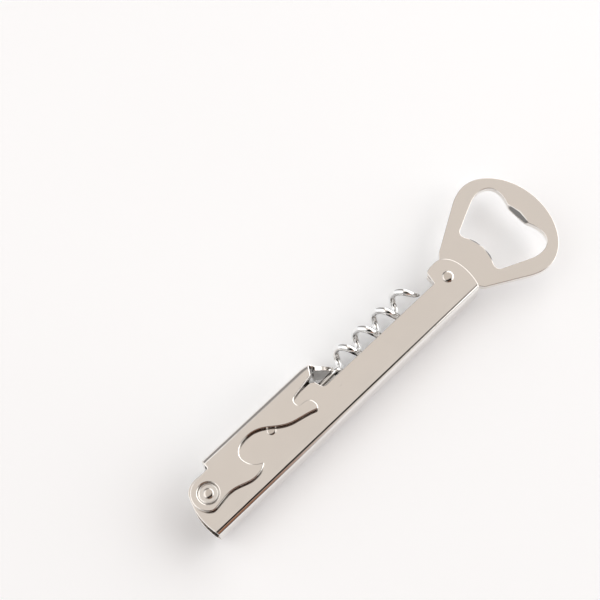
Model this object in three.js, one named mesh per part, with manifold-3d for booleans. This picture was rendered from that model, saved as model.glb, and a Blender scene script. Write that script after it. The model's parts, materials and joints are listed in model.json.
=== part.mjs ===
// Lever corkscrew of pressed, chrome-plated steel, lying on its side.
// Millimetres. +X runs along the handle from the lever pivot to the bottle opener, +Y points to
// the open side of the handle's channel, where the lever and the worm fold out, and +Z is up.
// Each piece is drawn about the middle of the channel's width (z = 0) with the lever pivot at
// x = 0. One group then lifts the whole object onto its lowest face and centres it.

import * as THREE from 'three';
import { mergeVertices } from 'three/addons/utils/BufferGeometryUtils.js';
import Module from 'manifold-3d';

const wasm = await Module();
wasm.setup();

// Running and seating gaps
const GAP = 0.3;            // between a bore and the pin in it, and between moving faces
const SEAT = 0.1;           // under a rivet head and at the end of a spacer

// Handle: one sheet folded to a channel, its web on the -Y side
const SHEET = 1.0;
const HALF = 5.4;           // half of the channel's outside width
const BEND = 1.7;           // outside radius of the folds
const WEB_Y = -9.5;         // outside face of the web
const HANDLE_END = -6.6;    // furthest point at the lever end
const HEAD_END = 106.4;     // furthest point at the opener end
const WINDOW = { start: 46.6, end: 96.3, floor: 1.5 };   // low wall beside the worm
const EAR_TOP = 6.3;        // wall height at the opener end
const REAR_EAR = 99.4;      // the rear wall's ear starts further back than the front one

// Lever: a second, wider channel over the first, its web on the +Y side
const LEVER_SHEET = 1.4;
const LEVER_GAP = 0.5;
const LEVER_HALF = HALF + LEVER_GAP + LEVER_SHEET;
const LEVER_BEND = 2.0;
const PIVOT_Y = 1.7;
const LEVER_WEB = 8.8;      // outside face of the web above the pivot
const LEVER_WEB_START = 5.0;
const LEVER_LENGTH = 49.6;  // pivot to the end of the web
const EAR_RADIUS = 5.4;
const BEAK = { reach: 6.4, angle: -42, bend: 1.6, fold: 1.0, full: 3.4, sheet: 1.2 };

// Worm, folded on its own pin inside the channel
const PIN = { x: 26.7, y: 2.9 };
const WORM_TILT = 1.1;      // degrees that the folded worm leans out of the channel
const WIRE = 1.1;           // wire radius
const COIL = 3.0;           // radius of the wire's centre line
const COIL_OFFSET = 1.9;    // the coil's axis beside the shank's line
const PITCH = 8.5;
const LAST_TOP = 58.75;      // the last crest, after which the turn opens out to the point
const STRETCH = 0.0061;     // how it opens out, in turns per mm squared
const WORM_LENGTH = 64.6;   // from the pin to the point, along the shank
const COIL_START = 26.5;    // along the shank from the pin
const LEAD_IN = 5.0;        // length over which the wire swings out to the coil's radius
const FIRST_TOP = 33.25;    // along the shank to the first crest
const TAPER = 4.2;          // length of the ground point, along the axis
const EYE = 2.9;

// Opener head: a flat plate held between the channel's walls
const PLATE = { bottom: 0.8, top: 3.0 };
const HEAD_Y = -0.3;        // the head's line of symmetry
const TANG_X = 96.4;
const NOSE = 141.3;
const HEAD_WIDTH = 19.0;    // half width

// Rivets
const HEAD_RIVET = { x: 100.4, y: 0.1 };
const RIVET = { shank: 1.2, head: 1.85, rise: 0.7 };
const PIVOT_PIN = { shank: 1.3, head: 1.85 };
const RING = { outer: 3.05, hole: 3.3, rim: 2.45, floor: 0.85, top: 1.55 };
const WORM_PIN = { shank: 1.2, head: 1.5, rise: 0.3 };
const SPACER = 2.6;
const HEAD_SPACER = 3.2;

const ARC_STEPS = 10;
const WELD = 0.002;

const chrome = (color, roughness) =>
  new THREE.MeshStandardMaterial({ color, roughness, metalness: 1.0 });
const FINISH = {
  handle: chrome('#d2cbc4', 0.22),
  lever: chrome('#d4cdc6', 0.2),
  opener: chrome('#d0c9c2', 0.28),
  worm: chrome('#dcdcdc', 0.12),
  rivet: chrome('#cfcac4', 0.2),
  spacer: chrome('#b9b7b3', 0.35),
};

// ---------- solids ----------

function solid(geometry) {
  const bare = geometry.index ? geometry.toNonIndexed() : geometry.clone();
  bare.deleteAttribute('normal');
  bare.deleteAttribute('uv');
  const merged = mergeVertices(bare, 1e-4);
  return new wasm.Manifold(new wasm.Mesh({
    numProp: 3,
    vertProperties: new Float32Array(merged.attributes.position.array),
    triVerts: new Uint32Array(merged.index.array),
  }));
}

// Back to a geometry, with corners closer than WELD made one and the slivers between them gone.
function geometryOf(body) {
  const { vertProperties, triVerts } = body.getMesh();
  const raw = new THREE.BufferGeometry();
  raw.setAttribute('position', new THREE.BufferAttribute(vertProperties, 3));
  raw.setIndex(new THREE.BufferAttribute(triVerts, 1));
  const geometry = mergeVertices(raw, WELD);
  const kept = [];
  for (let i = 0; i < geometry.index.count; i += 3) {
    const [a, b, c] = [0, 1, 2].map((k) => geometry.index.getX(i + k));
    if (a !== b && b !== c && c !== a) kept.push(a, b, c);
  }
  geometry.setIndex(kept);
  geometry.computeVertexNormals();
  return geometry;
}

const model = new THREE.Group();

function piece(name, body, material, parent = model) {
  const mesh = new THREE.Mesh(geometryOf(body), material);
  mesh.name = name;
  parent.add(mesh);
  return mesh;
}

// A flat shape in X and Y given thickness from z = low to z = high.
function slab(shape, low, high) {
  const geometry = new THREE.ExtrudeGeometry(shape, {
    depth: high - low, bevelEnabled: false, curveSegments: ARC_STEPS,
  });
  return solid(geometry.translate(0, 0, low));
}

// A section in Y and Z drawn out along X.
function rail(shape, start, end) {
  const geometry = new THREE.ExtrudeGeometry(shape, {
    depth: end - start, bevelEnabled: false, curveSegments: 5,
  });
  const turn = new THREE.Matrix4().makeBasis(
    new THREE.Vector3(0, 1, 0), new THREE.Vector3(0, 0, 1), new THREE.Vector3(1, 0, 0));
  return solid(geometry.applyMatrix4(turn).translate(start, 0, 0));
}

// A solid of revolution about a line along Z, from [radius, z] pairs that begin and end on it.
function turned(profile, x, y, sides = 28) {
  const points = profile.map(([radius, z]) => new THREE.Vector2(radius, z));
  return solid(new THREE.LatheGeometry(points, sides).rotateX(Math.PI / 2).translate(x, y, 0));
}

function drill(radius, x, y, low = -30, high = 30) {
  return turned([[0, low], [radius, low], [radius, high], [0, high]], x, y);
}

function tube(outer, bore, low, high, x, y) {
  return turned([[0, low], [outer, low], [outer, high], [0, high]], x, y)
    .subtract(drill(bore, x, y));
}

// Half of a shallow dome's outline, from its rim at z = foot to its crown.
function dome(radius, foot, rise) {
  const points = [];
  const steps = 5;
  for (let i = 0; i <= steps; i += 1) {
    const angle = (Math.PI / 2) * (i / steps);
    points.push([radius * Math.cos(angle), foot + rise * (0.35 + 0.65 * Math.sin(angle))]);
  }
  points[points.length - 1][0] = 0;
  return [[radius, foot], ...points];
}

// A rivet through the whole object: a shank with the same low dome at both ends.
function rivet({ shank, head, rise }, foot, x, y) {
  const upper = dome(head, foot, rise);
  const lower = upper.map(([radius, z]) => [radius, -z]).reverse();
  return turned([...lower, [shank, -foot], [shank, foot], ...upper], x, y);
}

// Section of a folded channel: the web's outside face lies at 0 and the walls rise in +Y.
function channelSection(half, sheet, bend, height) {
  const inner = bend - sheet;
  const section = new THREE.Shape();
  section.moveTo(height, -half);
  section.lineTo(height, -half + sheet);
  section.lineTo(bend, -half + sheet);
  section.absarc(bend, -half + bend, inner, -Math.PI / 2, -Math.PI, true);
  section.lineTo(sheet, half - bend);
  section.absarc(bend, half - bend, inner, Math.PI, Math.PI / 2, true);
  section.lineTo(height, half - sheet);
  section.lineTo(height, half);
  section.lineTo(bend, half);
  section.absarc(bend, half - bend, bend, Math.PI / 2, Math.PI, false);
  section.lineTo(0, -half + bend);
  section.absarc(bend, -half + bend, bend, Math.PI, Math.PI * 1.5, false);
  section.closePath();
  return section;
}

// ---------- handle ----------

function handleChannel() {
  const side = new THREE.Shape();
  side.moveTo(-5.7, WEB_Y - 1);
  side.quadraticCurveTo(HANDLE_END - 1.34, -1.8, -4.6, PIVOT_Y + 3.9);
  side.quadraticCurveTo(-3.2, PIVOT_Y + 6.1, 0.2, PIVOT_Y + 6.1);
  side.lineTo(WINDOW.start - 1.2, 5.3);
  side.lineTo(WINDOW.start, 4.6);
  side.lineTo(WINDOW.start + 0.4, WINDOW.floor + 1.6);
  side.quadraticCurveTo(WINDOW.start + 0.6, WINDOW.floor, WINDOW.start + 2.4, WINDOW.floor);
  side.lineTo(WINDOW.end - 0.5, WINDOW.floor);
  side.lineTo(WINDOW.end + 0.3, 5.5);
  side.quadraticCurveTo(98.2, EAR_TOP, 100.6, EAR_TOP);
  side.bezierCurveTo(104.2, EAR_TOP, HEAD_END, 2.9, HEAD_END, -2.0);
  side.quadraticCurveTo(HEAD_END, -6.5, 104.7, WEB_Y - 1);
  side.closePath();

  const cutBack = new THREE.Shape();
  cutBack.moveTo(WINDOW.end - 1.5, WINDOW.floor);
  cutBack.lineTo(REAR_EAR - 0.8, WINDOW.floor);
  cutBack.lineTo(REAR_EAR, EAR_TOP + 1);
  cutBack.lineTo(WINDOW.end - 1.5, EAR_TOP + 1);
  cutBack.closePath();

  const folded = rail(channelSection(HALF, SHEET, BEND, 22), HANDLE_END - 2, HEAD_END + 2)
    .translate([0, WEB_Y, 0]);
  return folded
    .intersect(slab(side, -HALF - 1, HALF + 1))
    .subtract(slab(cutBack, -HALF - 1, 0))
    .subtract(drill(PIVOT_PIN.shank + GAP, 0, PIVOT_Y))
    .subtract(drill(WORM_PIN.shank + GAP / 2, PIN.x, PIN.y))
    .subtract(drill(RIVET.shank + GAP / 2, HEAD_RIVET.x, HEAD_RIVET.y));
}

// ---------- lever ----------

// Side view of the lever's wall about its pivot: an ear, two hooked teeth that stand on a
// bottle's rim one after the other, and a guard that carries the beak.
function leverSide() {
  const side = new THREE.Shape();
  side.moveTo(LEVER_WEB_START, LEVER_WEB + 1);
  side.lineTo(LEVER_WEB_START - 0.1, EAR_RADIUS + 0.3);
  side.lineTo(0, EAR_RADIUS);
  side.absarc(0, 0, EAR_RADIUS, Math.PI / 2, Math.PI * 1.36, false);
  side.bezierCurveTo(-0.8, -5.1, 1.5, -4.5, 3.6, -4.3);
  side.bezierCurveTo(8.0, -3.9, 10.0, -6.3, 13.6, -6.3);
  side.quadraticCurveTo(16.4, -6.3, 18.3, -4.7);
  side.bezierCurveTo(16.8, -4.2, 14.2, -2.6, 14.1, 0.6);
  side.bezierCurveTo(14.1, 4.2, 19.0, 4.9, 22.0, 4.3);
  side.bezierCurveTo(27.0, 3.2, 28.0, -0.9, 34.5, -2.3);
  side.quadraticCurveTo(38.5, -3.1, 41.0, -4.1);
  side.bezierCurveTo(42.2, -4.0, 42.6, -0.2, 40.0, 0.3);
  side.bezierCurveTo(38.2, 0.5, 36.9, 0.4, 37.4, 2.6);
  side.quadraticCurveTo(37.6, 3.3, 39.0, 3.5);
  side.lineTo(46.8, 4.9);
  side.lineTo(47.8, 7.0);
  side.lineTo(LEVER_LENGTH, LEVER_WEB + 1);
  side.closePath();
  return side;
}

// A closed sheet of even thickness laid over a grid of stations along and across.
function thickSheet(rows, columns, place) {
  const positions = [];
  const quad = (a, b, c, d) => {
    for (const corner of [a, c, b, a, d, c]) positions.push(corner.x, corner.y, corner.z);
  };
  const at = (i, j, side) => place(i / rows, -1 + (2 * j) / columns, side);
  for (let i = 0; i < rows; i += 1) {
    for (let j = 0; j < columns; j += 1) {
      quad(at(i, j, 1), at(i, j + 1, 1), at(i + 1, j + 1, 1), at(i + 1, j, 1));
      quad(at(i, j, -1), at(i + 1, j, -1), at(i + 1, j + 1, -1), at(i, j + 1, -1));
    }
    quad(at(i, 0, -1), at(i, 0, 1), at(i + 1, 0, 1), at(i + 1, 0, -1));
    quad(at(i, columns, 1), at(i, columns, -1), at(i + 1, columns, -1), at(i + 1, columns, 1));
  }
  for (let j = 0; j < columns; j += 1) {
    quad(at(0, j, -1), at(0, j + 1, -1), at(0, j + 1, 1), at(0, j, 1));
    quad(at(rows, j, 1), at(rows, j + 1, 1), at(rows, j + 1, -1), at(rows, j, -1));
  }
  const geometry = new THREE.BufferGeometry();
  geometry.setAttribute('position', new THREE.Float32BufferAttribute(positions, 3));
  return solid(geometry);
}

// The beak: the web's end bent down across the channel, folded to a shallow V along its middle
// and cut to a pointed arch.
function beak() {
  const down = THREE.MathUtils.degToRad(BEAK.angle);
  const base = new THREE.Vector2(LEVER_LENGTH - BEAK.bend - 0.6, LEVER_WEB - LEVER_SHEET / 2);
  const corner = new THREE.Vector2(LEVER_LENGTH - 0.6, base.y);
  const along = new THREE.Vector2(Math.cos(down), Math.sin(down));
  const bendEnd = corner.clone().addScaledVector(along, BEAK.bend);
  const tip = corner.clone().addScaledVector(along, BEAK.reach);
  const spine = new THREE.CurvePath();
  spine.add(new THREE.QuadraticBezierCurve(base, corner, bendEnd));
  spine.add(new THREE.LineCurve(bendEnd, tip));
  const total = spine.getLength();
  const straight = BEAK.full;

  const halfWidth = (run) => {
    const past = Math.max(0, (run - straight) / (total - straight));
    return Math.max(0.3, (LEVER_HALF - 0.3) * Math.sqrt(Math.max(0, 1 - past ** 2)));
  };
  return thickSheet(16, 8, (u, across, side) => {
    const run = u * total;
    const point = spine.getPointAt(u);
    const tangent = spine.getTangentAt(u);
    const inward = new THREE.Vector2(tangent.y, -tangent.x);
    const width = halfWidth(run);
    const raise = BEAK.fold * Math.min(1, run / straight) * (Math.abs(across) * width) / LEVER_HALF;
    const offset = raise - (side * BEAK.sheet) / 2;
    return new THREE.Vector3(
      point.x + inward.x * offset, point.y + inward.y * offset, -across * width);
  });
}

function lever() {
  const folded = rail(channelSection(LEVER_HALF, LEVER_SHEET, LEVER_BEND, 22), -8, 56)
    .rotate([180, 0, 0])
    .translate([0, LEVER_WEB, 0]);
  return folded
    .intersect(slab(leverSide(), -LEVER_HALF - 1, LEVER_HALF + 1))
    .subtract(drill(RING.hole, 0, 0))
    .add(beak());
}

// ---------- worm ----------

// Centre line of the wire, from the eye along the shank and round the coil.
class WormLine extends THREE.Curve {
  constructor(length) {
    super();
    this.length = length;
  }

  getPoint(t, target = new THREE.Vector3()) {
    const x = t * this.length;
    const out = THREE.MathUtils.smoothstep(x, COIL_START, COIL_START + LEAD_IN);
    const past = Math.max(0, x - LAST_TOP);
    const angle = 2 * Math.PI * ((x - FIRST_TOP) / PITCH - STRETCH * past * past);
    return target.set(
      x, out * (COIL_OFFSET + COIL * Math.cos(angle)), out * COIL * Math.sin(angle));
  }
}

// A round bar along a curve whose radius follows the distance along X.
function taperedWire(curve, steps, sides, radiusAt) {
  const frames = curve.computeFrenetFrames(steps, false);
  const rings = [];
  for (let i = 0; i <= steps; i += 1) {
    const centre = curve.getPointAt(i / steps);
    const radius = radiusAt(centre.x);
    const ring = [];
    for (let j = 0; j < sides; j += 1) {
      const angle = (2 * Math.PI * j) / sides;
      ring.push(centre.clone()
        .addScaledVector(frames.normals[i], radius * Math.cos(angle))
        .addScaledVector(frames.binormals[i], radius * Math.sin(angle)));
    }
    rings.push(ring);
  }
  const positions = [];
  const triangle = (a, b, c) => {
    for (const corner of [a, b, c]) positions.push(corner.x, corner.y, corner.z);
  };
  for (let i = 0; i < steps; i += 1) {
    for (let j = 0; j < sides; j += 1) {
      const k = (j + 1) % sides;
      triangle(rings[i][j], rings[i][k], rings[i + 1][k]);
      triangle(rings[i][j], rings[i + 1][k], rings[i + 1][j]);
    }
  }
  for (let j = 1; j < sides - 1; j += 1) {
    triangle(rings[0][0], rings[0][j + 1], rings[0][j]);
    triangle(rings[steps][0], rings[steps][j], rings[steps][j + 1]);
  }
  const geometry = new THREE.BufferGeometry();
  geometry.setAttribute('position', new THREE.Float32BufferAttribute(positions, 3));
  return solid(geometry);
}

function worm() {
  const radiusAt = (x) => WIRE * Math.min(1, 0.1 + Math.sqrt(Math.max(0, WORM_LENGTH - x) / TAPER));
  const wire = taperedWire(new WormLine(WORM_LENGTH), 180, 10, radiusAt);
  const eye = tube(EYE, WORM_PIN.shank + GAP, -WIRE, WIRE, 0, 0);
  return wire.subtract(drill(WORM_PIN.shank + GAP + 0.6, 0, 0)).add(eye);
}

// ---------- opener head ----------

// Outline of the plate: a tang in the channel, flanks that open out, and a rounded nose.
function headOutline() {
  const upper = (y) => HEAD_Y + y;
  const lower = (y) => HEAD_Y - y;
  const shape = new THREE.Shape();
  shape.moveTo(TANG_X, WEB_Y + SHEET + GAP + 0.4);
  shape.lineTo(105.6, WEB_Y + SHEET + GAP + 0.4);
  shape.lineTo(107.0, lower(9.6));
  shape.lineTo(119.0, lower(16.3));
  shape.quadraticCurveTo(123.4, lower(HEAD_WIDTH), 127.2, lower(HEAD_WIDTH));
  shape.bezierCurveTo(134.6, lower(HEAD_WIDTH), NOSE, lower(10.6), NOSE, HEAD_Y);
  shape.bezierCurveTo(NOSE, upper(10.6), 134.6, upper(HEAD_WIDTH), 127.2, upper(HEAD_WIDTH));
  shape.quadraticCurveTo(123.4, upper(HEAD_WIDTH), 119.0, upper(16.3));
  shape.lineTo(105.0, upper(8.4));
  shape.quadraticCurveTo(102.6, 5.2, 100.0, 5.2);
  shape.lineTo(TANG_X, 5.2);
  shape.closePath();
  return shape;
}

// The opening: a lip on the handle's side that lifts the cap and one on the far side that
// rests on it, with the cap's width between them. Its two halves mirror each other.
function capOpening() {
  const half = new THREE.Path();
  half.moveTo(116.6, 0);
  half.lineTo(116.6, 2.6);
  half.quadraticCurveTo(116.6, 3.6, 115.4, 5.2);
  half.quadraticCurveTo(114.4, 6.4, 114.5, 7.7);
  half.quadraticCurveTo(114.7, 8.8, 116.0, 9.3);
  half.lineTo(124.8, 13.2);
  half.bezierCurveTo(129.4, 15.2, 134.2, 13.8, 134.1, 9.2);
  half.quadraticCurveTo(134.1, 7.4, 133.4, 5.6);
  half.quadraticCurveTo(132.9, 4.5, 132.6, 3.4);
  half.lineTo(132.6, 0);
  const upper = half.getPoints(6);
  const lower = upper.slice(1, -1).reverse().map((point) => new THREE.Vector2(point.x, -point.y));
  return new THREE.Shape([...upper, ...lower].map((point) => point.setY(point.y + HEAD_Y)));
}

function openerHead() {
  return slab(headOutline(), PLATE.bottom, PLATE.top)
    .subtract(slab(capOpening(), PLATE.bottom - 1, PLATE.top + 1))
    .subtract(drill(RIVET.shank + GAP / 2, HEAD_RIVET.x, HEAD_RIVET.y));
}

// ---------- rings, rivets and spacers ----------

// A flanged ring that the lever turns on: it fills the hole in the lever's wall, and its
// dished middle holds the rivet's head.
function pivotRing() {
  const foot = HALF + SEAT;
  return turned([
    [0, foot], [RING.outer, foot], [RING.outer, foot + RING.top - 0.25],
    [RING.outer - 0.25, foot + RING.top], [RING.rim, foot + RING.top],
    [RING.rim - 0.35, foot + RING.floor], [0, foot + RING.floor],
  ], 0, 0).subtract(drill(PIVOT_PIN.shank + GAP / 2, 0, 0));
}

function pivotRivet() {
  const foot = HALF + SEAT + RING.floor + SEAT;
  return rivet({ ...PIVOT_PIN, rise: LEVER_HALF - SEAT - foot }, foot, 0, 0);
}

// ---------- assembly ----------

const wallGap = HALF - SHEET - SEAT;

piece('handle_channel', handleChannel(), FINISH.handle);
piece('opener_head', openerHead(), FINISH.opener);
piece('head_rivet', rivet(RIVET, HALF + SEAT, HEAD_RIVET.x, HEAD_RIVET.y), FINISH.rivet);
piece('head_spacer_front', tube(HEAD_SPACER, RIVET.shank + GAP / 2,
  PLATE.top + SEAT, wallGap, HEAD_RIVET.x, HEAD_RIVET.y), FINISH.spacer);
piece('head_spacer_rear', tube(HEAD_SPACER, RIVET.shank + GAP / 2,
  -wallGap, PLATE.bottom - SEAT, HEAD_RIVET.x, HEAD_RIVET.y), FINISH.spacer);

const pivot = new THREE.Group();
pivot.position.set(0, PIVOT_Y, 0);
model.add(pivot);
piece('lever', lever(), FINISH.lever, pivot);
piece('lever_pivot_rivet', pivotRivet(), FINISH.rivet, pivot);
piece('lever_ring_front', pivotRing(), FINISH.spacer, pivot);
piece('lever_ring_rear', pivotRing(), FINISH.spacer, pivot).rotation.x = Math.PI;
piece('pivot_sleeve', tube(SPACER, PIVOT_PIN.shank + GAP / 2, -wallGap, wallGap, 0, 0),
  FINISH.spacer, pivot);

piece('worm_pin', rivet(WORM_PIN, HALF + SEAT / 2, PIN.x, PIN.y), FINISH.rivet);
piece('worm_spacer_front', tube(SPACER, WORM_PIN.shank + GAP / 2,
  WIRE + GAP, wallGap, PIN.x, PIN.y), FINISH.spacer);
piece('worm_spacer_rear', tube(SPACER, WORM_PIN.shank + GAP / 2,
  -wallGap, -WIRE - GAP, PIN.x, PIN.y), FINISH.spacer);
const swing = new THREE.Group();
swing.position.set(PIN.x, PIN.y, 0);
swing.rotation.z = THREE.MathUtils.degToRad(WORM_TILT);
model.add(swing);
piece('worm', worm(), FINISH.worm, swing);

// The object lies on the lever's rear wall, with its origin under the middle of its outline.
model.position.set(-(NOSE + HANDLE_END) / 2, -HEAD_Y, LEVER_HALF);

const corkscrew = new THREE.Group();
corkscrew.add(model);
export default corkscrew;
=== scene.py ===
"""Looks of a folding lever corkscrew: pressed sheets, wire and rivets in bright plated steel."""
import json
import math

import bpy
import numpy as np
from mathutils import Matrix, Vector
from mathutils.geometry import delaunay_2d_cdt


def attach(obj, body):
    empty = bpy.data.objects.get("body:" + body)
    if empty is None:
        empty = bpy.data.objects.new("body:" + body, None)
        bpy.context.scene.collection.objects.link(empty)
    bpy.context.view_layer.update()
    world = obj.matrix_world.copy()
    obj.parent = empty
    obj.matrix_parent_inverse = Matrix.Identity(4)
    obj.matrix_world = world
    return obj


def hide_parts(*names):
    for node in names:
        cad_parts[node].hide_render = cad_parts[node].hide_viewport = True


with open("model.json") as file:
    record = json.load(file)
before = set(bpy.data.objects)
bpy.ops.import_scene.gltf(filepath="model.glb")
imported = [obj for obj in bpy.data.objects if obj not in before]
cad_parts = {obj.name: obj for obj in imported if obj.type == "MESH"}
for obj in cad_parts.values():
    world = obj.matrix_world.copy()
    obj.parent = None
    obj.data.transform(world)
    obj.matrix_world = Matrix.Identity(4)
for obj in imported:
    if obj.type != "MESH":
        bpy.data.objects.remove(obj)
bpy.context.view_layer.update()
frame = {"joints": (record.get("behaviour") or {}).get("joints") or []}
MM = 0.001
JOINTS = {joint["name"]: Vector(joint["pos_m"]) / MM for joint in frame["joints"]}

# Every shape is drawn in millimetres as the CAD draws it: x from the lever's pivot towards the
# opener, y = 0 just below the pivot, and z = 0 in the middle of the channel.
PIVOT_Y = 1.7
ORIGIN = JOINTS["lever_swing"] - Vector((0, PIVOT_Y, 0))
WORM_PIN_AT = JOINTS["worm_swing"] - ORIGIN

# Handle
SHEET = 1.0
HALF = 5.4
BEND = 1.7
WEB_Y = -9.5
EAR_TOP = 6.3
HEAD_END = 106.4
WINDOW_FLOOR = 1.5
REAR_EAR = 99.4             # the rear wall's ear starts further back than the front one

# Lever
LEVER_SHEET = 1.4
LEVER_HALF = 7.3
LEVER_BEND = 2.0
LEVER_WEB_Y = PIVOT_Y + 8.8
EAR_RADIUS = 5.4
NOSE_START = 44.2           # from here the lever's web bends down to the beak
NOSE_LENGTH = 7.0
NOSE_ANGLE = math.radians(41)
NOSE_CURL = 2.9             # how late the web bends: the power of its curve
V_START = 48.9              # the channel's round section gives way to the V from here
V_LENGTH = 1.8
BEAK_TIP = 55.2             # longer than the CAD's: at rest it cuts 0.7 mm into the worm's wire
BEAK_WIDTH = 6.3            # half width where it is widest
BEAK_FULL = 50.2            # the beak's sides curve in from here
BEAK_FOLD = 1.1             # how far the beak's sides fold down from its ridge

# Opener head
PLATE_LOW, PLATE_HIGH = 0.8, 3.0
HEAD_Y = -0.3
HEAD_TIP = 141.3
HEAD_WIDTH = 19.0

# Worm
WIRE = 1.2                  # 0.1 mm thicker than the CAD's wire
COIL = 3.0
COIL_OFFSET = 1.9
PITCH = 8.5
COIL_START = 26.5
LEAD_IN = 5.0
FIRST_TOP = 33.25
LAST_TOP = 58.75            # the last crest, after which the turn opens out to the point
STRETCH = 0.0061            # how it opens out, in turns per mm squared
WORM_LENGTH = 64.6
POINT_LENGTH = 4.2
WORM_TILT = math.radians(1.1)
EYE = 2.9

# Rivets, rings and spacers
HEAD_RIVET_AT = Vector((100.4, 0.1, 0))
RIVET_SHANK = 1.2
PIVOT_SHANK = 1.3
RIVET_HEAD = 1.85
PIVOT_DOME = 1.65
PIN_HEAD = 1.5
RIVET_RISE = 0.6
PIN_RISE = 0.3
BORE_PLAY = 0.15
SEAT = 0.1
RING_TOP = HALF + SEAT + 1.15
SPACER = 2.6
HEAD_SPACER = 3.2


def smooth(t):
    """From 0 to 1 with a level start and end."""
    t = min(1.0, max(0.0, t))
    return t * t * (3 - 2 * t)


# ---------- outlines ----------

class Outline:
    """Points in a plane, joined by lines and by curves cut into short chords."""

    def __init__(self, x, y):
        self.points = [Vector((x, y))]

    def line(self, x, y):
        self.points.append(Vector((x, y)))
        return self

    def quad(self, cx, cy, x, y, steps=16):
        start, control, end = self.points[-1], Vector((cx, cy)), Vector((x, y))
        for i in range(1, steps + 1):
            t = i / steps
            self.points.append((1 - t) ** 2 * start + 2 * t * (1 - t) * control + t * t * end)
        return self

    def cubic(self, ax, ay, bx, by, x, y, steps=26):
        start, a, b, end = self.points[-1], Vector((ax, ay)), Vector((bx, by)), Vector((x, y))
        for i in range(1, steps + 1):
            t = i / steps
            self.points.append((1 - t) ** 3 * start + 3 * t * (1 - t) ** 2 * a
                               + 3 * t * t * (1 - t) * b + t ** 3 * end)
        return self

    def arc(self, cx, cy, radius, start, end, steps=36):
        for i in range(1, steps + 1):
            angle = math.radians(start + (end - start) * i / steps)
            self.points.append(Vector((cx + radius * math.cos(angle),
                                       cy + radius * math.sin(angle))))
        return self


def circle(x, y, radius, sides=56):
    turn = 2 * math.pi / sides
    return [Vector((x + radius * math.cos(i * turn), y + radius * math.sin(i * turn)))
            for i in range(sides)]


def even(points, step, closed):
    """The same line with points an even distance apart."""
    run = points + [points[0]] if closed else points
    xy = np.array([tuple(p) for p in run])
    along = np.concatenate([[0], np.cumsum(np.linalg.norm(np.diff(xy, axis=0), axis=1))])
    count = max(4, round(along[-1] / step))
    at = np.linspace(0, along[-1], count + 1)
    out = [Vector((np.interp(a, along, xy[:, 0]), np.interp(a, along, xy[:, 1]))) for a in at]
    return out[:-1] if closed else out


def softened(points, closed, step=0.14, passes=5):
    """The line with its corners rounded to a radius of about 0.3 mm and its straights thinned."""
    line = even(points, step, closed)
    for _ in range(passes):
        n = len(line)
        moved = [(line[i - 1] + 2 * line[i] + line[(i + 1) % n]) / 4 for i in range(n)]
        if not closed:
            moved[0], moved[-1] = line[0], line[-1]
        line = moved
    kept = [line[0]]
    for i in range(1, len(line) - 1):
        leg = line[i] - kept[-1]
        turn = abs(leg.angle_signed(line[i + 1] - line[i], 0)) if leg.length > 0 else 0
        if turn > math.radians(1.6) or leg.length > 3:
            kept.append(line[i])
    return kept + [line[-1]]


def area(points):
    return sum(a.x * b.y - b.x * a.y for a, b in zip(points, points[1:] + points[:1])) / 2


def wound(points, counterclockwise):
    return points if (area(points) > 0) == counterclockwise else points[::-1]


def with_crossings(points, levels):
    """The closed line with a point wherever it crosses one of these values of y."""
    out = []
    for a, b in zip(points, points[1:] + points[:1]):
        out.append(a)
        hits = [level for level in levels if min(a.y, b.y) + 1e-6 < level < max(a.y, b.y) - 1e-6]
        for level in sorted(hits, reverse=b.y < a.y):
            out.append(a.lerp(b, (level - a.y) / (b.y - a.y)))
    return out


# ---------- meshes ----------

def new_piece(name, verts, faces, normals=None, edge=None):
    """An object in the row frame from points in millimetres, with a normal for each corner."""
    mesh = bpy.data.meshes.new(name)
    mesh.from_pydata([(Vector(v) + ORIGIN) * MM for v in verts], [], faces)
    if edge is not None:
        mesh.attributes.new("edge", "FLOAT", "POINT").data.foreach_set("value", edge)
    mesh.polygons.foreach_set("use_smooth", [True] * len(mesh.polygons))
    if normals is not None:
        mesh.normals_split_custom_set([tuple(n) for n in normals])
    mesh.validate()
    piece = bpy.data.objects.new(name, mesh)
    bpy.context.scene.collection.objects.link(piece)
    return piece


class Fold:
    """A blank folded to a channel. s runs across the blank from the middle of the web."""

    def __init__(self, half, bend, web, rise, drop=None, morph=None):
        self.half, self.bend, self.web, self.rise = half, bend, web, rise
        self.flat = half - bend
        self.arc = bend * math.pi / 2
        self.drop = drop or (lambda x: 0.0)
        self.morph = morph

    def levels(self, steps=9):
        one = [self.flat + self.arc * i / steps for i in range(steps + 1)]
        return [-s for s in reversed(one)] + one

    def across(self, x, y):
        """How far from the middle of the blank the outside of the channel reaches height y."""
        height = self.rise * (y - self.web) - self.drop(x)
        if height < self.bend:
            return self.flat + self.bend * math.acos(min(1, 1 - max(height, 0) / self.bend))
        return self.flat + self.arc + height - self.bend

    def place(self, x, s, depth):
        side, reach = (1 if s >= 0 else -1), abs(s)
        if reach <= self.flat:
            height, z = depth, reach
        elif reach <= self.flat + self.arc:
            angle = (reach - self.flat) / self.bend
            height = self.bend - (self.bend - depth) * math.cos(angle)
            z = self.flat + (self.bend - depth) * math.sin(angle)
        else:
            height, z = self.bend + reach - self.flat - self.arc, self.half - depth
        if self.morph:
            at, height, z = self.morph(x, height, z, depth)
            return Vector((at, self.web + self.rise * (height + self.drop(x)), side * z))
        return Vector((x, self.web + self.rise * (height + self.drop(x)), side * z))


def flat_place(x, y, depth):
    return Vector((x, y, PLATE_HIGH - depth))


def axes_at(place, x, s, depth, step=0.004):
    """The directions in which x and s grow on the sheet, and the one that leaves its face."""
    along = (place(x + step, s, depth) - place(x - step, s, depth)).normalized()
    across = (place(x, s + step, depth) - place(x, s - step, depth)).normalized()
    out = along.cross(across).normalized()
    if out.dot(place(x, s, depth - step) - place(x, s, depth + step)) < 0:
        out = -out
    return along, across, out


ROLL_STEPS = 5


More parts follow.
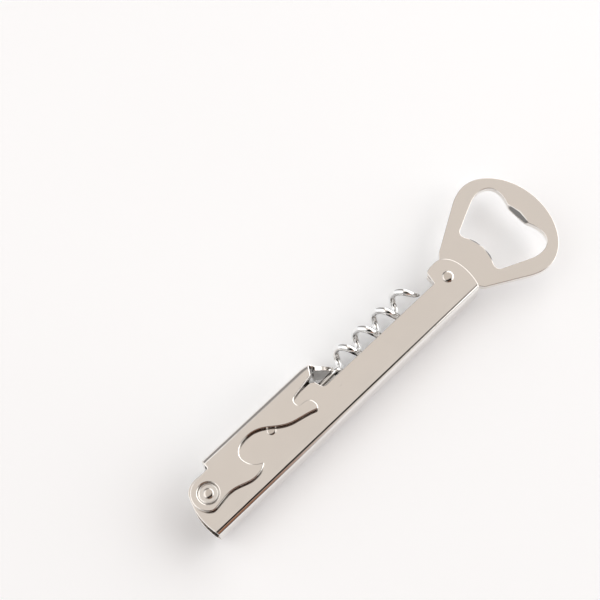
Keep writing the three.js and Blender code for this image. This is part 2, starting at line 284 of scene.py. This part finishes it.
def edge_profile(width, height, coin):
    """The rolled edge of a sheet: (inset, depth, outward share, upward share) from the face to
    the cut. coin turns the round roll into a flat bevel."""
    rows = []
    for k in range(ROLL_STEPS + 1):
        angle = (math.pi / 2) * k / ROLL_STEPS
        inset = (1 - coin) * width * (1 - math.sin(angle)) + coin * width * (1 - k / ROLL_STEPS)
        depth = (1 - coin) * height * (1 - math.cos(angle)) + coin * height * k / ROLL_STEPS
        round_out, round_up = math.sin(angle) / width, math.cos(angle) / height
        size = math.hypot(round_out, round_up)
        flat = math.hypot(width, height)
        out = (1 - coin) * round_out / size + coin * height / flat
        up = (1 - coin) * round_up / size + coin * width / flat
        rows.append((inset, depth, out, up))
    return rows


def inside(points, loop):
    """Which of these points lie inside a closed loop."""
    points, loop = np.asarray(points), np.array([tuple(p) for p in loop])
    result = np.zeros(len(points), bool)
    for (ax, ay), (bx, by) in zip(loop, np.roll(loop, -1, axis=0)):
        crosses = (ay > points[:, 1]) != (by > points[:, 1])
        if ay != by:
            result ^= crosses & (points[:, 0] < (bx - ax) * (points[:, 1] - ay) / (by - ay) + ax)
    return result


class SheetMesh:
    """The faces of one closed sheet, with the normals of their corners."""

    def __init__(self, thickness, place):
        self.thickness, self.place = thickness, place
        self.verts, self.faces, self.normals, self.edge = [], [], [], []
        self.rings = {"face": [], "back": []}

    def add_face(self, corners, normals):
        a, b, c = (self.verts[i] for i in corners[:3])
        if (b - a).cross(c - a).dot(sum(normals, Vector())) < 0:
            corners, normals = corners[::-1], normals[::-1]
        self.faces.append(corners)
        self.normals.extend(normals)

    def add_rim(self, loop, roll_at, burr):
        """The rolled edge of the face, the cut and the burr of the back, along one loop.
        roll_at gives the roll's width, its height, how flat it is and how much painted dark
        reflection it gets."""
        n = len(loop)
        first, count = len(self.verts), 2 * (ROLL_STEPS + 1)
        shading, face_ring, back_ring = [], [], []
        for i, point in enumerate(loop):
            way = (loop[(i + 1) % n] - loop[i - 1]).normalized()
            inward = Vector((-way.y, way.x))
            width, height, coin, painted_dark = roll_at(point)
            rows = edge_profile(width, height, coin)
            rows += [(inset, self.thickness - depth, out, -up)
                     for inset, depth, out, up in reversed(edge_profile(*burr, 0.0))]
            face_ring.append((first + i * count, point + inward * rows[0][0]))
            back_ring.append((first + i * count + count - 1, point + inward * rows[-1][0]))
            for k, (inset, depth, out, up) in enumerate(rows):
                at = point + inward * inset
                along, across, face = axes_at(self.place, at.x, at.y, depth)
                outward = -(along * inward.x + across * inward.y).normalized()
                self.verts.append(self.place(at.x, at.y, depth))
                shading.append(((outward * out + face * up).normalized(), outward))
                rim_level = 1.0 if 0 < k < count - 1 else 0.4
                # The edge value: the rim's warmer tint share, plus a painted dark reflection on the
                # face's roll rows.
                self.edge.append(rim_level + (painted_dark if 0 < k <= ROLL_STEPS else 0))
        for i in range(n):
            j = (i + 1) % n
            for k in range(count - 1):
                ids = [first + i * count + k, first + j * count + k,
                       first + j * count + k + 1, first + i * count + k + 1]
                cut = 1 if k == ROLL_STEPS else 0
                self.add_face(ids, [shading[v - first][cut] for v in ids])
        self.rings["face"].append(face_ring)
        self.rings["back"].append(back_ring)

    def add_cap(self, which, depth, runs):
        """The face or the back: triangles between the rims, which follow the runs."""
        rings = self.rings[which]
        ids, flat, links = [], [], []
        for ring in rings:
            start = len(ids)
            ids += [vertex for vertex, _ in ring]
            flat += [point for _, point in ring]
            links += [(start + i, start + (i + 1) % len(ring)) for i in range(len(ring))]
        for run in runs:
            start = len(ids)
            ids += [None] * len(run)
            flat += run
            links += [(start + i, start + i + 1) for i in range(len(run) - 1)]
        points, _, triangles, origins, _, _ = delaunay_2d_cdt(flat, links, [], 0, 1e-6, True)
        number = []
        for point, origin in zip(points, origins):
            known = [ids[o] for o in origin if ids[o] is not None]
            if known:
                number.append(known[0])
            else:
                number.append(len(self.verts))
                self.verts.append(self.place(point.x, point.y, depth))
                self.edge.append(0.0)
        middles = [sum((points[i] for i in t), Vector((0, 0))) / 3 for t in triangles]
        keep = inside(middles, [point for _, point in rings[0]])
        for ring in rings[1:]:
            keep &= ~inside(middles, [point for _, point in ring])
        sign = 1 if which == "face" else -1
        facing = {}
        for triangle, wanted in zip(triangles, keep):
            if not wanted:
                continue
            for i in triangle:
                if i not in facing:
                    facing[i] = sign * axes_at(self.place, points[i].x, points[i].y, depth)[2]
            self.add_face([number[i] for i in triangle], [facing[i] for i in triangle])

    def piece(self, name):
        used = sorted({i for face in self.faces for i in face})
        renumber = {old: new for new, old in enumerate(used)}
        return new_piece(name, [self.verts[i] for i in used],
                         [[renumber[i] for i in face] for face in self.faces],
                         self.normals, [self.edge[i] for i in used])


def pressed_sheet(name, loops, thickness, place, runs=(), roll=(0.28, 0.24), burr=(0.1, 0.1),
                  coin_at=None):
    """A closed sheet of even thickness. The first loop is the blank's outline, counter-clockwise,
    and the others are its holes. runs are open lines of points that the faces also follow, and
    coin_at gives the edge's roll where it isn't the same all the way round, as in add_rim."""
    sheet = SheetMesh(thickness, place)
    for number, loop in enumerate(loops):
        if coin_at:
            sheet.add_rim(loop, lambda point: coin_at(number, point, roll), burr)
        else:
            sheet.add_rim(loop, lambda point: (*roll, 0.0, 0.0), burr)
    sheet.add_cap("face", 0.0, runs)
    sheet.add_cap("back", thickness, runs)
    return sheet.piece(name)


def turned(name, profile, at, sides=64, sharp=35):
    """A solid of revolution about a line along Z from [radius, z] pairs."""
    verts, faces, rows = [], [], []
    for radius, z in profile:
        if radius < 1e-6:
            rows.append([len(verts)])
            verts.append((at.x, at.y, at.z + z))
            continue
        rows.append(list(range(len(verts), len(verts) + sides)))
        verts += [(at.x + radius * math.cos(2 * math.pi * i / sides),
                   at.y + radius * math.sin(2 * math.pi * i / sides), at.z + z)
                  for i in range(sides)]
    closed = profile[0][0] > 1e-6
    pairs = list(zip(rows, rows[1:] + rows[:1])) if closed else list(zip(rows, rows[1:]))
    for low, high in pairs:
        for i in range(sides):
            j = (i + 1) % sides
            ring = [low[i % len(low)], low[j % len(low)], high[j % len(high)], high[i % len(high)]]
            faces.append(list(dict.fromkeys(ring)))
    piece = new_piece(name, verts, faces)
    piece.data.set_sharp_from_angle(angle=math.radians(sharp))
    return piece


# ---------- pressed sheets ----------

def channel_blank(fold, front, rear):
    """The developed outline of a channel from the side views of its two walls."""
    outline = [Vector((p.x, fold.across(p.x, p.y))) for p in front]
    outline += [Vector((p.x, -fold.across(p.x, p.y))) for p in reversed(rear)]
    return wound(with_crossings(outline, fold.levels()), True)


def wall_holes(fold, x, y, radius):
    """A round hole through both walls."""
    reach = fold.across(x, y)
    return [wound(circle(x, side * reach, radius), False) for side in (1, -1)]


def handle_sheet():
    def wall(ear_start, ear_low):
        side = (Outline(-5.75, WEB_Y)
                .quad(-7.94, -1.8, -4.6, 5.6).quad(-3.2, 7.8, 0.2, 7.8)
                .line(45.4, 5.3).line(46.6, 4.6).line(47.0, 3.1)
                .quad(47.2, WINDOW_FLOOR, 49.0, WINDOW_FLOOR).line(ear_start - 0.8, WINDOW_FLOOR)
                .line(ear_start, ear_low).quad(ear_start + 0.8, EAR_TOP, 100.6, EAR_TOP)
                .cubic(104.2, EAR_TOP, HEAD_END, 2.9, HEAD_END, -2.0)
                .quad(HEAD_END, -6.5, 104.8, WEB_Y))
        return softened(side.points, False)

    fold = Fold(HALF, BEND, WEB_Y, 1)
    loops = [channel_blank(fold, wall(96.6, 5.5), wall(REAR_EAR, 6.0))]
    loops += wall_holes(fold, 0, PIVOT_Y, PIVOT_SHANK + 0.3)
    loops += wall_holes(fold, WORM_PIN_AT.x, WORM_PIN_AT.y, RIVET_SHANK + BORE_PLAY)
    loops += wall_holes(fold, HEAD_RIVET_AT.x, HEAD_RIVET_AT.y, RIVET_SHANK + BORE_PLAY)
    runs = [[Vector((-5.2, s)), Vector((104.2, s))] for s in fold.levels()]
    return pressed_sheet("handle_sheet", loops, SHEET, fold.place, runs, roll=(0.22, 0.2))


def nose_drop(x):
    """How far the lever's web has bent down at x, on its way to the beak."""
    past = max(0.0, x - NOSE_START)
    bent = min(past, NOSE_LENGTH)
    drop = math.tan(NOSE_ANGLE) * NOSE_LENGTH * (bent / NOSE_LENGTH) ** NOSE_CURL / NOSE_CURL
    return drop + math.tan(NOSE_ANGLE) * (past - bent)


def beak_shape(x, height, z, depth):
    """Past the walls, the channel's round section gives way to a shallow V."""
    blend = smooth((x - V_START) / V_LENGTH)
    folded = BEAK_FOLD * math.sqrt(z * z + 0.02) / BEAK_WIDTH + depth
    return (x - blend * folded * math.sin(NOSE_ANGLE),
            (1 - blend) * height + blend * folded * math.cos(NOSE_ANGLE), z)


def lever_sheet():
    y = PIVOT_Y
    fold = Fold(LEVER_HALF, LEVER_BEND, LEVER_WEB_Y, -1, nose_drop, beak_shape)
    side = (Outline(5.0, LEVER_WEB_Y).line(4.9, y + EAR_RADIUS + 0.3).line(0, y + EAR_RADIUS)
            .arc(0, y, EAR_RADIUS, 90, 244.8)
            .cubic(-0.8, y - 5.1, 1.5, y - 4.5, 3.6, y - 4.3)
            .cubic(8.0, y - 3.9, 10.0, y - 6.3, 13.6, y - 6.3)
            .quad(16.4, y - 6.3, 18.3, y - 4.7)
            .cubic(16.8, y - 4.2, 14.2, y - 2.6, 14.1, y + 0.6)
            .cubic(14.1, y + 4.2, 19.0, y + 4.9, 22.0, y + 4.3)
            .cubic(27.0, y + 3.2, 28.0, y - 0.9, 34.5, y - 2.3)
            .quad(38.5, y - 3.1, 41.0, y - 4.1)
            .cubic(42.2, y - 4.0, 42.6, y - 0.2, 40.0, y + 0.3)
            .cubic(38.2, y + 0.5, 36.9, y + 0.4, 37.4, y + 2.6)
            .quad(37.6, y + 3.3, 39.0, y + 3.5)
            .line(46.8, y + 4.9))
    wall_end = side.points[-1]
    front = [Vector((p.x, fold.across(p.x, p.y))) for p in softened(side.points, False)]
    root = fold.flat + LEVER_BEND * math.asin((BEAK_WIDTH - fold.flat) / LEVER_BEND)
    beak = Outline(wall_end.x, front[-1].y).line(47.8, fold.flat + fold.arc).line(48.9, root)
    beak.line(BEAK_FULL, root)
    for i in range(1, 41):
        past = i / 40
        beak.line(BEAK_FULL + (BEAK_TIP - BEAK_FULL) * past, root * (1 - past ** 1.7) ** 0.8)
    front += softened(beak.points, False)[1:]
    rear = [Vector((p.x, -p.y)) for p in reversed(front[:-1])]
    outline = softened(front + rear, True, passes=1)
    loops = [wound(with_crossings(outline, fold.levels()), True)]
    loops += wall_holes(fold, 0, PIVOT_Y, 3.3)
    ridge = [-0.6, -0.3, -0.12, 0.12, 0.3, 0.6]
    runs = []
    for s in fold.levels() + ridge:
        last = BEAK_TIP - 0.9 - 2.6 * (abs(s) / root) ** 2
        nose = [Vector((x, s)) for x in np.arange(NOSE_START, last, 0.45)]
        start = [] if s in ridge else [Vector((5.5, s))]
        runs.append(start + nose)
    for s in (-3.6, -2.1, 2.1, 3.6):
        runs.append([Vector((x, s)) for x in np.arange(NOSE_START, BEAK_TIP - 1.8, 0.45)])
    return pressed_sheet("lever_sheet", loops, LEVER_SHEET, fold.place, runs,
                         roll=(0.36, 0.3))


def opener_plate():
    y = HEAD_Y
    tang = WEB_Y + SHEET + 0.7
    outline = (Outline(96.4, tang).line(105.6, tang).line(107.0, y - 9.6).line(119.0, y - 16.3)
               .quad(123.4, y - HEAD_WIDTH, 127.2, y - HEAD_WIDTH)
               .cubic(134.6, y - HEAD_WIDTH, HEAD_TIP, y - 10.6, HEAD_TIP, y, steps=44)
               .cubic(HEAD_TIP, y + 10.6, 134.6, y + HEAD_WIDTH, 127.2, y + HEAD_WIDTH, steps=44)
               .quad(123.4, y + HEAD_WIDTH, 119.0, y + 16.3)
               .line(105.0, y + 8.4).quad(102.6, 5.2, 100.0, 5.2).line(96.4, 5.2))
    half = (Outline(116.6, 0).line(116.6, 2.6).quad(116.6, 3.6, 115.4, 5.2)
            .quad(114.4, 6.4, 114.5, 7.7).quad(114.7, 8.8, 116.0, 9.3).line(124.8, 13.2)
            .cubic(129.4, 15.2, 134.2, 13.8, 134.1, 9.2)
            .quad(134.1, 7.4, 133.4, 5.6).quad(132.9, 4.5, 132.6, 3.4).line(132.6, 0)).points
    opening = half + [Vector((p.x, -p.y)) for p in reversed(half[1:-1])]
    opening = [Vector((p.x, p.y + y)) for p in opening]

    def coined(number, point, roll):
        """The two lips are coined: a broad bevel on the far one, a small one on the near one.
        Their bevels also get a painted dark reflection: the plating colour is darkened there."""
        off = abs(point.y - y)
        if number != 1 or off > 5.4:
            return (*roll, 0.0, 0.0)
        # The last value of each is the painted dark reflection on that lip's bevel.
        if point.x > 128:
            share = max(0.0, 1 - (off / 4.6) ** 2)
            blend = min(1.0, 2.5 * share)
            return roll[0] + 1.3 * share, roll[1] + 1.0 * share, blend, 0.7 * blend
        share = max(0.0, 1 - ((off - 3.2) / 1.9) ** 2)
        blend = min(1.0, 2.5 * share)
        return roll[0] + 0.55 * share, roll[1] + 0.8 * share, blend, blend

    loops = [wound(softened(outline.points, True), True), wound(softened(opening, True), False),
             wound(circle(HEAD_RIVET_AT.x, HEAD_RIVET_AT.y, RIVET_SHANK + BORE_PLAY), False)]
    return pressed_sheet("opener_plate", loops, PLATE_HIGH - PLATE_LOW, flat_place,
                         roll=(0.2, 0.2), coin_at=coined)


# ---------- worm ----------

def worm_line(x):
    """Centre of the wire at distance x along the shank from the pin."""
    out = smooth((x - COIL_START) / LEAD_IN)
    past = max(0.0, x - LAST_TOP)
    angle = 2 * math.pi * ((x - FIRST_TOP) / PITCH - STRETCH * past * past)
    return Vector((x, out * (COIL_OFFSET + COIL * math.cos(angle)), out * COIL * math.sin(angle)))


def worm_wire():
    steps, sides = 620, 26
    start = 2.1
    verts, faces = [], []
    normal = Vector((0, 1, 0))
    for i in range(steps + 1):
        x = start + (WORM_LENGTH - start) * i / steps
        centre = worm_line(x)
        way = (worm_line(x + 0.01) - worm_line(x - 0.01)).normalized()
        normal = (normal - way * normal.dot(way)).normalized()
        binormal = way.cross(normal)
        radius = WIRE * min(1.0, 0.05 + math.sqrt(max(0.0, WORM_LENGTH - x) / POINT_LENGTH))
        for j in range(sides):
            angle = 2 * math.pi * j / sides
            verts.append(centre + radius * (normal * math.cos(angle) + binormal * math.sin(angle)))
    for i in range(steps):
        for j in range(sides):
            k = (j + 1) % sides
            faces.append([i * sides + j, i * sides + k, (i + 1) * sides + k, (i + 1) * sides + j])
    faces.append(list(range(sides))[::-1])
    faces.append([steps * sides + j for j in range(sides)])
    first = len(verts)
    eye_sides, bore = 64, RIVET_SHANK + 0.3
    section = rounded_section(bore, EYE, -WIRE, WIRE, 0.35)
    for i in range(eye_sides):
        angle = 2 * math.pi * i / eye_sides
        verts += [Vector((r * math.cos(angle), r * math.sin(angle), z)) for r, z in section]
    n = len(section)
    for i in range(eye_sides):
        j = (i + 1) % eye_sides
        for k in range(n):
            m = (k + 1) % n
            faces.append([first + i * n + k, first + j * n + k,
                          first + j * n + m, first + i * n + m])
    cos, sin = math.cos(WORM_TILT), math.sin(WORM_TILT)
    verts = [Vector((v.x * cos - v.y * sin + WORM_PIN_AT.x, v.x * sin + v.y * cos + WORM_PIN_AT.y,
                     v.z)) for v in verts]
    piece = new_piece("worm_wire", verts, faces)
    piece.data.set_sharp_from_angle(angle=math.radians(50))
    return piece


# ---------- rivets, rings and spacers ----------

def rounded_section(inner, outer, low, high, radius, steps=5):
    """A rectangle of radius and z with round corners, as a closed list."""
    corners = [(outer - radius, low + radius, -90), (outer - radius, high - radius, 0),
               (inner + radius, high - radius, 90), (inner + radius, low + radius, 180)]
    out = []
    for r, z, start in corners:
        for i in range(steps + 1):
            angle = math.radians(start + 90 * i / steps)
            out.append((r + radius * math.cos(angle), z + radius * math.sin(angle)))
    return out


def rivet_head(head, foot, rise, steps=14):
    """Half profile of a low peened dome: a short skirt, a round shoulder and a flat crown."""
    skirt = 0.25 * rise
    rows = [(head - 0.06, foot), (head, foot + 0.06)]
    for i in range(steps + 1):
        angle = (math.pi / 2) * i / steps
        rows.append((head * math.cos(angle) ** 0.8,
                     foot + skirt + (rise - skirt) * math.sin(angle) ** 0.8))
    rows[-1] = (0.0, foot + rise)
    return rows


def rivet(name, shank, head, foot, rise, at):
    upper = [(shank, foot)] + rivet_head(head, foot, rise)
    lower = [(radius, -z) for radius, z in reversed(upper)]
    return turned(name, lower + upper, at)


def pivot_ring(name, side):
    """A flanged ring with a thin raised rim round a flat floor under the rivet's head."""
    outer, rim, foot, top = 3.05, 2.6, HALF + SEAT, RING_TOP + 0.05
    bore = PIVOT_SHANK + BORE_PLAY
    profile = [(bore, foot), (outer - 0.08, foot), (outer, foot + 0.08)]
    for i in range(7):
        angle = math.pi * i / 6
        middle, reach = (outer + rim) / 2, (outer - rim) / 2
        profile.append((middle + reach * math.cos(angle), top - 0.1 + 0.1 * math.sin(angle)))
    profile.append((bore, RING_TOP - 0.05))
    return turned(name, [(radius, side * z) for radius, z in profile], Vector((0, PIVOT_Y, 0)),
                  sharp=50)


def collar(name, outer, bore, low, high, at):
    return turned(name, rounded_section(bore, outer, low, high, 0.15, 3), at, sides=48)


# ---------- materials ----------

class Nodes:
    """Short calls for building a node tree."""

    def __init__(self, tree):
        self.tree = tree
        tree.nodes.clear()

    def add(self, kind, **settings):
        node = self.tree.nodes.new(kind)
        for key, value in settings.items():
            setattr(node, key, value)
        return node

    def link(self, source, target):
        self.tree.links.new(source, target)

    def noise(self, vector, scale, detail=3.0, roughness=0.5):
        node = self.add("ShaderNodeTexNoise")
        node.inputs["Scale"].default_value = scale
        node.inputs["Detail"].default_value = detail
        node.inputs["Roughness"].default_value = roughness
        self.link(vector, node.inputs["Vector"])
        return node.outputs["Fac"]

    def ranged(self, value, low, high, to_low, to_high):
        node = self.add("ShaderNodeMapRange", interpolation_type="SMOOTHSTEP")
        for socket, number in zip(("From Min", "From Max", "To Min", "To Max"),
                                  (low, high, to_low, to_high)):
            node.inputs[socket].default_value = number
        self.link(value, node.inputs["Value"])
        return node.outputs["Result"]

    def math(self, operation, a, b):
        node = self.add("ShaderNodeMath", operation=operation)
        for socket, value in zip(node.inputs, (a, b)):
            if isinstance(value, (int, float)):
                socket.default_value = value
            else:
                self.link(value, socket)
        return node.outputs[0]

    def mix(self, factor, a, b):
        node = self.add("ShaderNodeMix", data_type="RGBA")
        self.link(factor, node.inputs["Factor"])
        for socket, value in ((node.inputs[6], a), (node.inputs[7], b)):
            if isinstance(value, tuple):
                socket.default_value = (*value, 1.0)
            else:
                self.link(value, socket)
        return node.outputs[2]


def plated_steel(name, tint, roughness, grain, seed, edge_tint=None):
    """Bright plating over rolled sheet: a faint grain along X, cloudy haze, small pits, and a
    slightly warmer colour on the rolled edges. Where the edge value passes 1, as on the
    coined lips, the colour is darkened as a painted dark reflection."""
    material = bpy.data.materials.new(name)
    material.use_nodes = True
    n = Nodes(material.node_tree)
    output = n.add("ShaderNodeOutputMaterial")
    shader = n.add("ShaderNodeBsdfPrincipled")
    n.link(shader.outputs[0], output.inputs[0])
    shader.inputs["Metallic"].default_value = 1.0
    place = n.add("ShaderNodeTexCoord").outputs["Object"]
    shift = n.add("ShaderNodeMapping")
    shift.inputs["Location"].default_value = (seed * 0.13, seed * 0.07, seed * 0.05)
    n.link(place, shift.inputs["Vector"])
    place = shift.outputs["Vector"]
    rolled = n.add("ShaderNodeMapping")
    rolled.inputs["Scale"].default_value = (0.06, 1.0, 1.0)
    n.link(place, rolled.inputs["Vector"])

    haze = n.noise(place, 90, 4, 0.6)
    grain_lines = n.noise(rolled.outputs["Vector"], 5200, 2, 0.7)
    speckle = n.noise(place, 900, 1, 0.4)
    pits = n.ranged(speckle, 0.79, 0.85, 0.0, 1.0)

    clouds = n.mix(n.ranged(haze, 0.35, 0.65, 0.0, 1.0), tint, tuple(0.975 * c for c in tint))
    warm = edge_tint or tuple(c * f for c, f in zip(tint, (1.0, 0.985, 0.965)))
    rim_level = n.add("ShaderNodeAttribute", attribute_name="edge").outputs["Fac"]
    coat = n.mix(n.math("MULTIPLY", rim_level, 0.8), clouds, warm)
    # Edge values above 1 paint a dark reflection into the plating colour.
    coat = n.mix(n.ranged(rim_level, 1.0, 1.9, 0.0, 1.0), coat, tuple(0.1 * c for c in tint))
    colour = n.mix(n.math("MULTIPLY", pits, 0.25), coat, tuple(0.55 * c for c in tint))
    n.link(colour, shader.inputs["Base Color"])

    rough = n.ranged(haze, 0.3, 0.7, roughness * 0.85, roughness * 1.25)
    rough = n.math("ADD", rough, n.math("MULTIPLY", grain_lines, roughness * 0.25))
    rough = n.math("ADD", rough, n.math("MULTIPLY", pits, 0.15))
    n.link(rough, shader.inputs["Roughness"])

    height = n.math("ADD", n.math("MULTIPLY", grain_lines, grain),
                    n.math("MULTIPLY", n.noise(place, 420, 2, 0.5), 0.5))
    height = n.math("SUBTRACT", height, n.math("MULTIPLY", pits, 0.6))
    bump = n.add("ShaderNodeBump")
    bump.inputs["Strength"].default_value = 0.035
    bump.inputs["Distance"].default_value = 0.0002
    n.link(height, bump.inputs["Height"])
    n.link(bump.outputs["Normal"], shader.inputs["Normal"])
    return material


def floor_paper():
    material = bpy.data.materials.new("floor_paper")
    material.use_nodes = True
    n = Nodes(material.node_tree)
    output = n.add("ShaderNodeOutputMaterial")
    shader = n.add("ShaderNodeBsdfPrincipled")
    n.link(shader.outputs[0], output.inputs[0])
    place = n.add("ShaderNodeTexCoord").outputs["Object"]
    tone = n.ranged(n.noise(place, 4, 2, 0.5), 0.3, 0.7, 0.0, 1.0)
    n.link(n.mix(tone, (0.93, 0.935, 0.945), (0.915, 0.92, 0.93)), shader.inputs["Base Color"])
    shader.inputs["Roughness"].default_value = 0.9
    shader.inputs["Specular IOR Level"].default_value = 0.1
    shader.inputs["Emission Color"].default_value = (1.0, 1.0, 1.0, 1.0)
    shader.inputs["Emission Strength"].default_value = TABLE_GLOW
    return material


# ---------- studio ----------

LEVEL_WHITE = (1.0, 1.0, 1.0)
CEILING = (0.76, 0.70, 0.645)
SIDE_GREY = (0.50, 0.48, 0.465)
FAR_GREY = (0.32, 0.305, 0.295)
TABLE_GLOW = 0.11           # a faint emission that keeps the floor as pale as the photo's
ROOM_BROWN = (0.30, 0.125, 0.065)
ROOM_DARK = (0.006, 0.004, 0.003)


def studio_world():
    """Bright walls and a warm ceiling. The grey sides, the dark band overhead and the brown and
    dark patch on the camera's side lie where the plating mirrors them in the photo's view."""
    world = bpy.data.worlds.new("studio")
    bpy.context.scene.world = world
    world.use_nodes = True
    n = Nodes(world.node_tree)
    output = n.add("ShaderNodeOutputWorld")
    background = n.add("ShaderNodeBackground")
    n.link(background.outputs[0], output.inputs[0])
    parts = n.add("ShaderNodeSeparateXYZ")
    n.link(n.add("ShaderNodeTexCoord").outputs["Generated"], parts.inputs[0])
    x, y, z = parts.outputs

    colour = n.mix(n.ranged(z, 0.25, 0.6, 0.0, 1.0), LEVEL_WHITE, CEILING)
    colour = n.mix(n.ranged(x, -0.72, -0.45, 1.0, 0.0), colour, SIDE_GREY)
    colour = n.mix(n.ranged(y, 0.45, 0.7, 0.0, 1.0), colour, FAR_GREY)
    low = n.math("MULTIPLY", n.ranged(y, -0.70, -0.56, 1.0, 0.0), n.ranged(x, 0.11, 0.22, 1.0, 0.0))
    colour = n.mix(low, colour, n.mix(n.ranged(z, 0.2, 0.3, 0.0, 1.0), ROOM_DARK, ROOM_BROWN))
    band = n.math("MULTIPLY", n.ranged(y, -0.08, -0.01, 1.0, 0.0),
                  n.ranged(y, -0.64, -0.52, 0.0, 1.0))
    high = n.math("MULTIPLY", n.ranged(z, 0.62, 0.72, 0.0, 1.0), n.ranged(x, 0.26, 0.42, 1.0, 0.0))
    colour = n.mix(n.math("MULTIPLY", band, high), colour, ROOM_DARK)
    n.link(colour, background.inputs["Color"])
    background.inputs["Strength"].default_value = 1.0


def soft_light(name, position, target, size, power):
    data = bpy.data.lights.new(name, "AREA")
    data.shape = "RECTANGLE"
    data.size, data.size_y = size
    data.energy = power
    data.color = (0.95, 0.975, 1.0)
    light = bpy.data.objects.new(name, data)
    light.location = position
    light.rotation_euler = (Vector(target) - Vector(position)).to_track_quat("-Z", "Y").to_euler()
    bpy.context.scene.collection.objects.link(light)


def studio():
    target = Vector((-0.0056, 0.0270, 0.0127))
    data = bpy.data.cameras.new("camera")
    data.lens = 78
    data.sensor_width = 36
    camera = bpy.data.objects.new("camera", data)
    camera.location = (-0.0997, -0.0702, 0.3937)
    camera.rotation_euler = (target - camera.location).to_track_quat("-Z", "Y").to_euler()
    bpy.context.scene.collection.objects.link(camera)
    bpy.context.scene.camera = camera
    bpy.context.scene.view_settings.view_transform = "Standard"

    half = 3.0
    mesh = bpy.data.meshes.new("floor")
    mesh.from_pydata([(-half, -half, 0), (half, -half, 0), (half, half, 0), (-half, half, 0)],
                     [], [(0, 1, 2, 3)])
    floor = bpy.data.objects.new("floor", mesh)
    mesh.materials.append(floor_paper())
    bpy.context.scene.collection.objects.link(floor)

    studio_world()
    soft_light("window_far", (1.45, 0.4, 0.65), (0, 0, 0), (1.5, 1.5), 10.0)
    soft_light("window_near", (1.1, -0.7, 0.8), (0, 0, 0), (1.3, 1.3), 9.0)
    soft_light("window_left", (-0.9, 0.8, 0.85), (0, 0, 0), (2.2, 2.2), 11.0)


# ---------- assembly ----------

def finish_piece(piece, material, body, slot, *nodes):
    piece.data.materials.append(material)
    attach(piece, body)
    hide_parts(*nodes)


def build():
    handle = plated_steel("handle_plating", (0.86, 0.835, 0.81), 0.10, 0.5, 1)
    lever = plated_steel("lever_plating", (0.865, 0.84, 0.815), 0.10, 0.5, 2)
    opener = plated_steel("opener_plating", (0.85, 0.825, 0.80), 0.13, 0.6, 3)
    wire = plated_steel("worm_plating", (0.92, 0.92, 0.915), 0.05, 0.15, 4)
    rivets = plated_steel("rivet_plating", (0.74, 0.70, 0.66), 0.12, 0.3, 5)
    rings = plated_steel("ring_plating", (0.87, 0.855, 0.835), 0.12, 0.3, 6)
    plain = plated_steel("turned_steel", (0.62, 0.61, 0.60), 0.28, 0.8, 7)

    finish_piece(handle_sheet(), handle, "handle", "handle_plating", "handle_channel")
    finish_piece(lever_sheet(), lever, "lever", "lever_plating", "lever")
    finish_piece(opener_plate(), opener, "handle", "opener_plate", "opener_head")
    finish_piece(worm_wire(), wire, "worm", "worm_wire", "worm")

    pivot_at = Vector((0, PIVOT_Y, 0))
    pin_at = Vector((WORM_PIN_AT.x, WORM_PIN_AT.y, 0))
    finish_piece(rivet("head_rivet_peened", RIVET_SHANK, RIVET_HEAD, HALF + SEAT, RIVET_RISE,
                       HEAD_RIVET_AT), rivets, "handle", "rivet", "head_rivet")
    finish_piece(rivet("pivot_rivet_peened", PIVOT_SHANK, PIVOT_DOME, RING_TOP,
                       LEVER_HALF - SEAT / 2 - RING_TOP, pivot_at),
                 rivets, "handle", "rivet", "lever_pivot_rivet")
    finish_piece(rivet("worm_pin_peened", RIVET_SHANK, PIN_HEAD, HALF + SEAT / 2, PIN_RISE,
                       pin_at),
                 rivets, "handle", "rivet", "worm_pin")
    for side, place in ((1, "front"), (-1, "rear")):
        finish_piece(pivot_ring(f"pivot_ring_{place}", side), rings, "handle", "bearing_ring",
                     f"lever_ring_{place}")
    wall = HALF - SHEET - SEAT
    collars = (
        ("pivot_sleeve", "pivot_collar", SPACER, PIVOT_SHANK, -wall, wall, pivot_at),
        ("worm_spacer_front", "worm_collar_front", SPACER, RIVET_SHANK, WIRE + 0.3, wall, pin_at),
        ("worm_spacer_rear", "worm_collar_rear", SPACER, RIVET_SHANK, -wall, -WIRE - 0.3, pin_at),
        ("head_spacer_front", "head_collar_front", HEAD_SPACER, RIVET_SHANK,
         PLATE_HIGH + SEAT, wall, HEAD_RIVET_AT),
        ("head_spacer_rear", "head_collar_rear", HEAD_SPACER, RIVET_SHANK,
         -wall, PLATE_LOW - SEAT, HEAD_RIVET_AT),
    )
    for node, name, outer, shank, low, high, at in collars:
        finish_piece(collar(name, outer, shank + BORE_PLAY, low, high, at),
                     plain, "handle", "spacer", node)


studio()
build()
